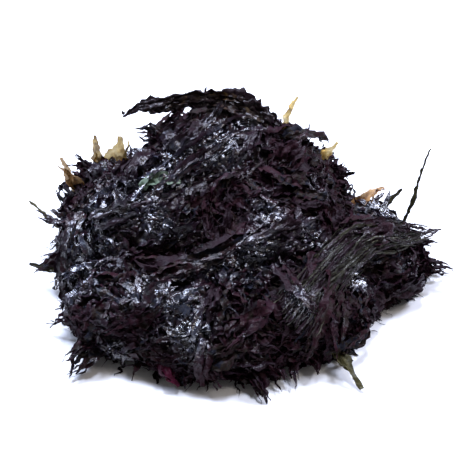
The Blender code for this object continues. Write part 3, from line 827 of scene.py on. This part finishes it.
def beside(band, apart, above, width, rng, columns=3, roll=0.8, crumple=0.0005, late=0.6):
    """A narrow ribbon along part of a band, beside its middle line and a little above it. Late is
    the share of the band by which it has begun."""
    middle, across, normal, _ = band
    rows = len(middle)
    share = np.linspace(0, 1, rows)
    first, last = sorted(rng.uniform(0, 1, 2))
    first = int(late * first * rows)
    part = slice(first, max(int((0.5 + 0.5 * last) * rows), first + 8))
    sway = SWAY * wave(share, (0.5, 2.6), rng)
    rise = above + RISE * np.sin(2 * math.pi * (share * 2 + rng.random()))
    line = (middle + across * (apart + sway)[:, None] + normal * rise[:, None])[part]
    turn = rng.normal(0, roll) + share[part] * rng.normal(0, 2.5 * roll)
    turned = across[part] * np.cos(turn)[:, None] + normal[part] * np.sin(turn)[:, None]
    body = np.sin(math.pi * np.linspace(0.1, 0.96, len(line)))
    return membrane(line, turned, width * body, columns, rng, crumple=crumple), rng.random()


def barbs(band, count, rng):
    """Short torn slivers that stand off the edges of a band."""
    middle, across, normal, half = band
    ahead = units(np.gradient(middle, axis=0))
    for _ in range(count):
        at = int(rng.uniform(0.1, 0.97) * len(middle))
        side = rng.choice((-1, 1))
        root = middle[at] + across[at] * (side * half[at] * rng.uniform(0.2, 0.9))
        lean = ahead[at] * rng.uniform(-0.8, 1.6)
        toward = units(lean + across[at] * side + normal[at] * rng.normal(0.2, 0.5))
        share = np.linspace(0, 1, 9)[:, None]
        line = root + toward * (rng.uniform(*BARB_LENGTH) * share)
        line = line + normal[at] * (rng.normal(0, 0.0012) * share**2)
        body = 0.0002 + (1 - share[:, 0] ** 1.5) * rng.uniform(*BARB_WIDTH)
        flat = np.tile(np.cross(toward, normal[at]), (9, 1))
        yield membrane(line, flat, body, 3, rng, crumple=0.0004), rng.random()


rng = np.random.default_rng(CREST_SEED)
band = band_of(CREST, CREST_SEED)
middle, across, normal, half = band
share = np.linspace(0, 1, len(half))
body = half * (1.35 - 0.2 * share) * (1 - share**8)
ribbons = [(membrane(middle, across, body, 16, rng, curl=0.2, crumple=0.0012, torn=0.15), 0.3)]
for _ in range(SPLITS):
    apart = rng.uniform(-SPLIT_SPREAD, SPLIT_SPREAD)
    above, width = rng.uniform(-SPLIT_RISE, SPLIT_RISE), rng.uniform(*SPLIT_WIDTH)
    ribbons.append(beside(band, apart, above, width, rng, columns=6, roll=0.5, crumple=0.0011))
ribbons.extend(barbs(band, BARBS, rng))
make_piece(CREST.name + "_skin", ribbons, browned, "laver", CREST.name, gloss_and_painted_sheen=0.5)


# The fronds over the seams. Three long broad fronds cross from one clump to the next, low among the
# finer ones. Like the rest they are wrinkled skins, held by what lies over their ends.

UPWARD = (0, -0.5, 1)
OVER = [
    Loose(
        "frond_over_middle",
        [(-0.048, -0.075, 0.026), (-0.035, -0.069, 0.036), (-0.020, -0.064, 0.040),
         (-0.006, -0.060, 0.042), (0.010, -0.051, 0.047), (0.024, -0.042, 0.047)],
        0.014, UPWARD, 8,
    ),
    Loose(
        "frond_over_crown",
        [(-0.046, -0.038, 0.045), (-0.036, -0.031, 0.058), (-0.024, -0.020, 0.064),
         (-0.010, -0.010, 0.069), (0.004, 0.002, 0.072), (0.018, 0.010, 0.068)],
        0.011, UPWARD, 8,
    ),
    Loose(
        "frond_over_front",
        [(-0.047, -0.087, 0.018), (-0.038, -0.088, 0.031), (-0.028, -0.083, 0.039), (-0.015, -0.074, 0.036)],
        0.012, UPWARD, 5,
    ),
]
OVER_SINK = 0.0020  # the strips lie this much under the frond's middle, among the finer fronds
OVER_SHREDS = 4
SHRED_SPREAD = 0.007
SHRED_LIFT = (-0.0022, 0.0002)
SHRED_WIDTH = (0.0008, 0.0026)
for seed, frond in enumerate(OVER, start=72):
    rng = np.random.default_rng(seed)
    band = band_of(frond, seed)
    middle, across, normal, half = band
    lowered = middle - np.array((0, 0, OVER_SINK))
    edge = across * (0.7 * half)[:, None]
    ribbons = list(torn_strips(lowered - edge, lowered + edge, rng))
    for _ in range(OVER_SHREDS):
        apart, above = rng.uniform(-SHRED_SPREAD, SHRED_SPREAD), rng.uniform(*SHRED_LIFT)
        ribbons.append(beside(band, apart, above, rng.uniform(*SHRED_WIDTH), rng))
    make_piece(frond.name + "_skin", ribbons, laver, "laver", frond.name)


# The combed bundle on the right. Many thin strands, split from one long frond, run together from a
# thick tip at the rim and fan out toward the front. They dried olive grey, and wine brown on top.

BUNDLE = [
    Loose(
        "strand_upper",
        [(0.026, -0.067, 0.041), (0.042, -0.050, 0.043), (0.064, -0.026, 0.043),
         (0.089, -0.013, 0.032), (0.115, -0.002, 0.012)],
        0.0030, UPWARD, 8,
    ),
    Loose(
        "strand_middle",
        [(0.030, -0.071, 0.041), (0.046, -0.054, 0.043), (0.068, -0.030, 0.042),
         (0.091, -0.019, 0.032), (0.113, -0.007, 0.016)],
        0.0034, UPWARD, 8,
    ),
    Loose(
        "strand_lower",
        [(0.034, -0.076, 0.038), (0.050, -0.059, 0.041), (0.072, -0.035, 0.040),
         (0.093, -0.025, 0.031), (0.110, -0.013, 0.020)],
        0.0030, UPWARD, 8,
    ),
]
THREADS = 52
THREAD_WIDTH = (0.00018, 0.0006)
THREAD_LIFT = (-0.0022, 0.0014)
FAN = (0.0008, 0.0075)  # half the bundle's width at the rim, and what it gains toward the front
SAG = np.array((0.002, -0.008, -0.006))  # how far the threads settle in the middle
FALL = np.array((0, -0.020, -0.012))  # and how far their front ends fall forward onto the heap
# Threads split from one frond shine along their length, olive grey with a wine brown cast. The
# shine is partly their glossy coat and partly a painted sheen, the pale grey after the tones.
combed = membrane_material(
    "combed strands",
    [(0.0, "#1c0e16"), (0.3, "#24141c"), (0.5, "#201b19"), (0.8, "#282620"), (1.0, "#39372a")],
    "#484b4c", (0.36, 0.60), mottle=0.2,
)
for seed, frond in enumerate(BUNDLE, start=75):
    rng = np.random.default_rng(seed)
    band = band_of(frond, seed)
    middle, across, normal, half = band
    share = np.linspace(0, 1, len(middle))
    fan = FAN[0] + FAN[1] * (1 - share) ** 1.3
    settled = np.sin(math.pi * share) ** 0.8
    fallen = (np.maximum(0, 0.5 - share) / 0.5) ** 1.6
    bent = middle + settled[:, None] * SAG + fallen[:, None] * FALL
    band = (bent, across, normal, half)
    ribbons = [(membrane(bent, across, half * 0.8, 4, rng), 0.2)]
    for _ in range(THREADS):
        apart = rng.uniform(-1, 1) * fan
        above = rng.uniform(*THREAD_LIFT)
        ribbons.append(beside(band, apart, above, rng.uniform(*THREAD_WIDTH), rng, late=0.3))
    make_piece(frond.name + "_skin", ribbons, combed, "laver", frond.name, gloss_and_painted_sheen=0.3)


# The coloured fronds. Other seaweeds, and thin laver that dried in the light, stick out between the
# clumps: amber and brown ones at the upper left and along the right, olive and red ones at the rim.
# They are thinner than the rest, so they look paler and nearly translucent, with curled edges.

FORWARD = (0, -1, 0.3)
Coloured = namedtuple("Coloured", "name colour width facing rows path")
COLOURED = [
    Coloured(
        "frond_spike", "olive", 0.0022, FORWARD, 5,
        [(0.092, -0.002, 0.012), (0.098, 0.000, 0.026), (0.101, 0.002, 0.044), (0.105, 0.004, 0.060)],
    ),
    Coloured(
        "frond_olive_right", "olive", 0.0040, FORWARD, 4,
        [(0.078, 0.000, 0.017), (0.085, 0.005, 0.023), (0.094, 0.010, 0.030)],
    ),
    Coloured(
        "frond_amber_wide", "amber", 0.0110, FORWARD, 4,
        [(-0.054, 0.019, 0.030), (-0.056, 0.022, 0.042), (-0.054, 0.024, 0.054)],
    ),
    Coloured(
        "frond_amber_left", "amber", 0.0075, FORWARD, 4,
        [(-0.063, 0.018, 0.028), (-0.066, 0.021, 0.042), (-0.067, 0.022, 0.056)],
    ),
    Coloured(
        "frond_brown_left", "brown", 0.0075, FORWARD, 4,
        [(-0.072, 0.014, 0.022), (-0.080, 0.016, 0.034), (-0.085, 0.018, 0.045)],
    ),
    Coloured(
        "frond_amber_crown", "amber", 0.0036, FORWARD, 4,
        [(0.031, 0.018, 0.062), (0.033, 0.019, 0.072), (0.038, 0.020, 0.081)],
    ),
    Coloured(
        "frond_amber_right", "amber", 0.0060, FORWARD, 4,
        [(0.046, 0.017, 0.036), (0.053, 0.019, 0.044), (0.060, 0.021, 0.052)],
    ),
    Coloured(
        "frond_green", "green", 0.0075, UPWARD, 4,
        [(-0.041, -0.025, 0.0565), (-0.031, -0.023, 0.0605), (-0.021, -0.025, 0.0595)],
    ),
    Coloured(
        "frond_stalk", "olive", 0.0030, UPWARD, 4,
        [(-0.082, -0.006, 0.014), (-0.091, 0.000, 0.018), (-0.103, 0.008, 0.024)],
    ),
    Coloured(
        "frond_olive_left", "olive", 0.0055, UPWARD, 4,
        [(-0.078, -0.030, 0.016), (-0.088, -0.032, 0.011), (-0.099, -0.030, 0.012)],
    ),
    Coloured(
        "frond_olive_front", "olive", 0.0065, UPWARD, 4,
        [(0.049, -0.081, 0.012), (0.056, -0.094, 0.008), (0.065, -0.109, 0.003)],
    ),
    Coloured(
        "frond_red_front", "red", 0.0090, UPWARD, 4,
        [(-0.030, -0.094, 0.017), (-0.027, -0.102, 0.011), (-0.021, -0.109, 0.004)],
    ),
    Coloured(
        "frond_brown_right", "brown", 0.0065, UPWARD, 4,
        [(0.066, -0.006, 0.026), (0.075, 0.002, 0.031), (0.085, 0.009, 0.031)],
    ),
]
# The same gel film without the dark pigment. Amber and brown let some light through, so they glow
# at a thin edge. Olive, green and red are other weeds, matt and darker. The paler colour after each
# set of tones is a painted sheen, laid in where a stretch of skin is taut.
SKINS = {
    "amber": membrane_material(
        "amber membrane", [(0.0, "#5e4220"), (0.35, "#a07a36"), (0.65, "#c4a050"), (1.0, "#e0c684")],
        "#e8d8a8", (0.40, 0.60), clear=0.26,
    ),
    "olive": membrane_material(
        "olive membrane", [(0.0, "#221f13"), (0.5, "#36331e"), (1.0, "#4e492d")], "#5c5a40", (0.40, 0.60),
    ),
    "green": membrane_material(
        "green membrane", [(0.0, "#3e4a3e"), (0.5, "#505e4e"), (1.0, "#62705e")], "#727e6e", (0.4, 0.6),
    ),
    "brown": membrane_material(
        "brown membrane", [(0.0, "#33201a"), (0.5, "#704c2c"), (1.0, "#aa8454")], "#b08e64", (0.40, 0.60),
        clear=0.2,
    ),
    "red": membrane_material(
        "red membrane", [(0.0, "#220a14"), (0.5, "#360c1d"), (1.0, "#481228")], "#54404c", (0.3, 0.5),
    ),
}
COLUMN_STEP = 0.0009
BROAD = 0.005  # a frond wider than this has a shred lying beside it
for seed, frond in enumerate(COLOURED, start=78):
    rng = np.random.default_rng(seed)
    band = band_of(frond, seed)
    middle, across, normal, half = band
    columns = max(4, int(frond.width / COLUMN_STEP))
    curl = rng.normal(0, 0.4)
    skin = membrane(middle, across, half, columns, rng, curl=curl, crumple=0.0006, torn=0.11)
    ribbons = [(skin, rng.random())]
    if frond.width > BROAD:
        apart = rng.choice((-1, 1)) * 0.3 * frond.width
        ribbons.append(beside(band, apart, 0.0006, 0.16 * frond.width, rng, 4))
    make_piece(frond.name + "_skin", ribbons, SKINS[frond.colour], frond.colour, frond.name, gloss_and_painted_sheen=0)


# The camera looks down at the heap from the front at 39.3 degrees, from 0.66 m. The shifts are in
# pixels of the 460 pixel frame.
CAMERA_TILT = math.radians(39.3)
CAMERA_AWAY = 0.66
CAMERA_LENS = 96.4
CAMERA_SENSOR = 36
FRAME_WIDTH = 460
CAMERA_SHIFT = (6.5, 15)
aim = -HEAP_MIDDLE
camera_data = bpy.data.cameras.new("camera")
camera_data.sensor_width = CAMERA_SENSOR
camera_data.lens = CAMERA_LENS
camera_data.shift_x, camera_data.shift_y = (shift / FRAME_WIDTH for shift in CAMERA_SHIFT)
camera = bpy.data.objects.new("camera", camera_data)
bpy.context.scene.collection.objects.link(camera)
back = Vector((0, -math.cos(CAMERA_TILT), math.sin(CAMERA_TILT)))
camera.location = aim + back * CAMERA_AWAY
camera.rotation_mode = "QUATERNION"
camera.rotation_quaternion = (-back).to_track_quat("-Z", "Y")
bpy.context.scene.camera = camera

# The floor is a plain white board, painted matt, 6 m square so that its edge stays out of sight.
FLOOR_HALF = 3
floor_mesh = bpy.data.meshes.new("floor")
corners = [(x * FLOOR_HALF, y * FLOOR_HALF, 0) for x, y in ((-1, -1), (1, -1), (1, 1), (-1, 1))]
floor_mesh.from_pydata(corners, [], [(0, 1, 2, 3)])
floor = bpy.data.objects.new("floor", floor_mesh)
bpy.context.scene.collection.objects.link(floor)
floor_paint = bpy.data.materials.new("matt white floor")
floor_paint.use_nodes = True
paint = floor_paint.node_tree.nodes["Principled BSDF"]
paint.inputs["Base Color"].default_value = linear("#f2f2f2")
paint.inputs["Roughness"].default_value = 0.9
floor.data.materials.append(floor_paint)

# Soft studio light: a large box above and behind to the left, three smaller ones round it that give
# the skins their glints, a dim warm one at the front, and an even pale room. Each has its place, its
# size in metres, its power in watts and its tint.
for name, place, size, power, tint in (
    ("key box", (-0.35, 0.40, 0.85), 0.32, 9.5, "#e8edff"),
    ("left glint box", (-0.55, 0.25, 0.60), 0.18, 7.0, "#d2dfff"),
    ("top glint box", (0.10, 0.15, 0.95), 0.18, 7.5, "#dee7ff"),
    ("right glint box", (0.62, 0.22, 0.66), 0.20, 9.0, "#dfe6ff"),
    ("fill box", (0.55, -0.20, 0.85), 0.30, 2.0, "#fff6f0"),
):
    lamp_data = bpy.data.lights.new(name, "AREA")
    lamp_data.size = size
    lamp_data.energy = power
    lamp_data.color = linear(tint)[:3]
    lamp = bpy.data.objects.new(name, lamp_data)
    bpy.context.scene.collection.objects.link(lamp)
    lamp.location = place
    lamp.rotation_mode = "QUATERNION"
    lamp.rotation_quaternion = (aim - Vector(place)).to_track_quat("-Z", "Y")

ROOM_STRENGTH = 0.14
world = bpy.data.worlds.new("pale room")
world.use_nodes = True
room_light = world.node_tree.nodes["Background"]
room_light.inputs["Color"].default_value = linear("#f8f5f6")
room_light.inputs["Strength"].default_value = ROOM_STRENGTH
bpy.context.scene.world = world
bpy.context.scene.view_settings.view_transform = "Standard"
